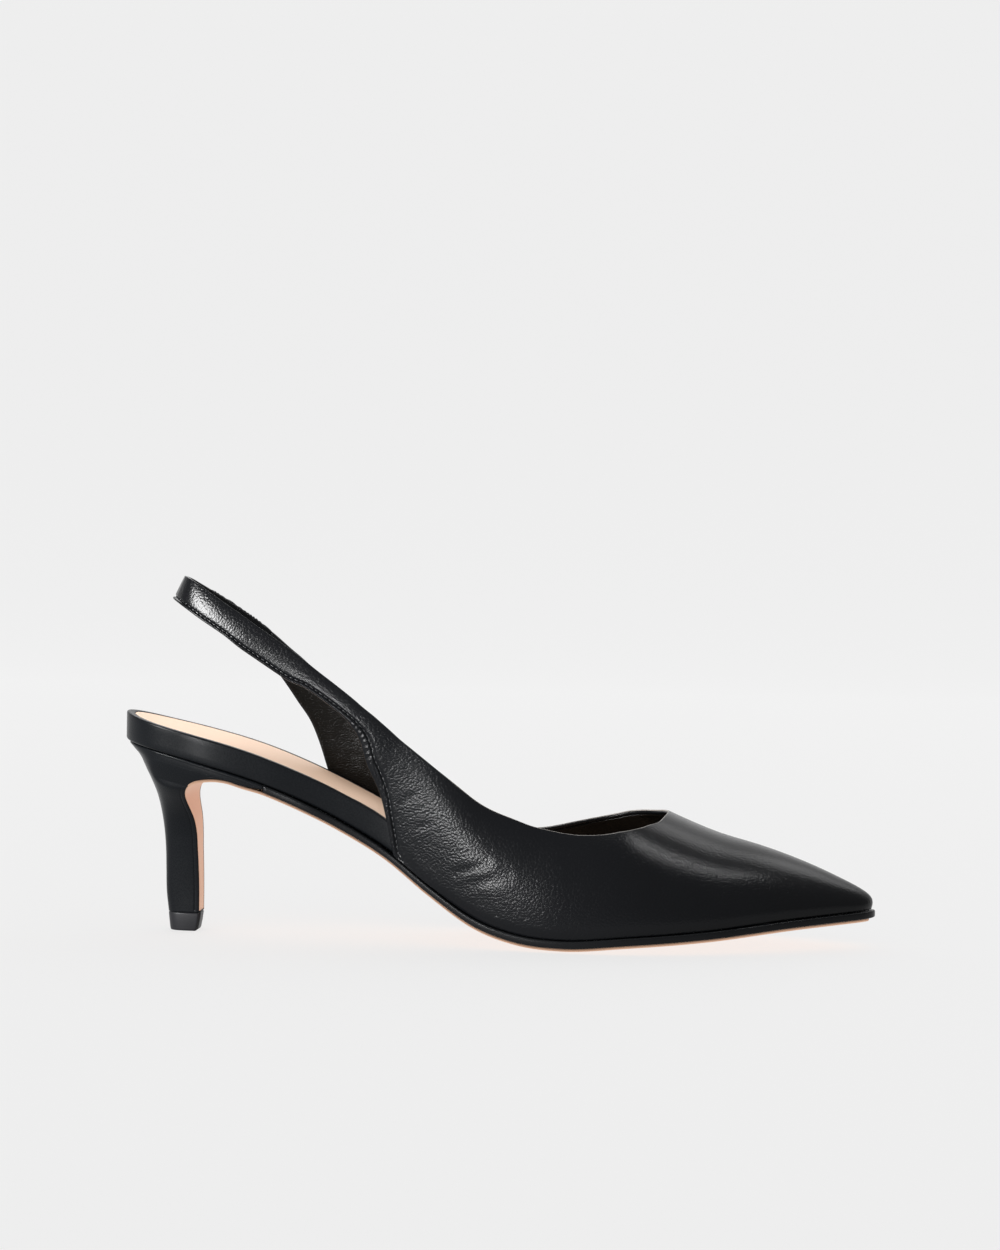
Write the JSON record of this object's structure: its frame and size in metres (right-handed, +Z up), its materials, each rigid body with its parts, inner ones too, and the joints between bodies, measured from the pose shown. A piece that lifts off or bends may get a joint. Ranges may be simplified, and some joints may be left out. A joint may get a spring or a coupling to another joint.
{
  "type": "slingback pump",
  "caption": "Pointed slingback pump for the right foot with a slim covered mid-height heel, a rising quarter on each side and a gathered elastic in the heel strap.",
  "frame": {"origin": "on the floor, under the middle of the shoe's box", "axes": "+X to the toe, +Y to the inner side of the foot, +Z up"},
  "size_m": [0.2486, 0.0774, 0.1176],
  "materials": {
    "upper_leather": "smooth, semi-gloss, fine grain",
    "wrapping_leather": "smooth, semi-gloss, tightly wrapped",
    "rand_leather": "smooth, semi-gloss",
    "sock_leather": "smooth, soft, matt",
    "sole_leather": "smooth, satin",
    "tip_rubber": "satin"
  },
  "bodies": {
    "root": {"upper": "upper_leather", "strap_elastic": "upper_leather", "footbed": "wrapping_leather", "sock": "sock_leather", "rand": "rand_leather", "outsole": "sole_leather", "heel": "wrapping_leather", "heel_tip": "tip_rubber"}
  },
  "joints": []
}
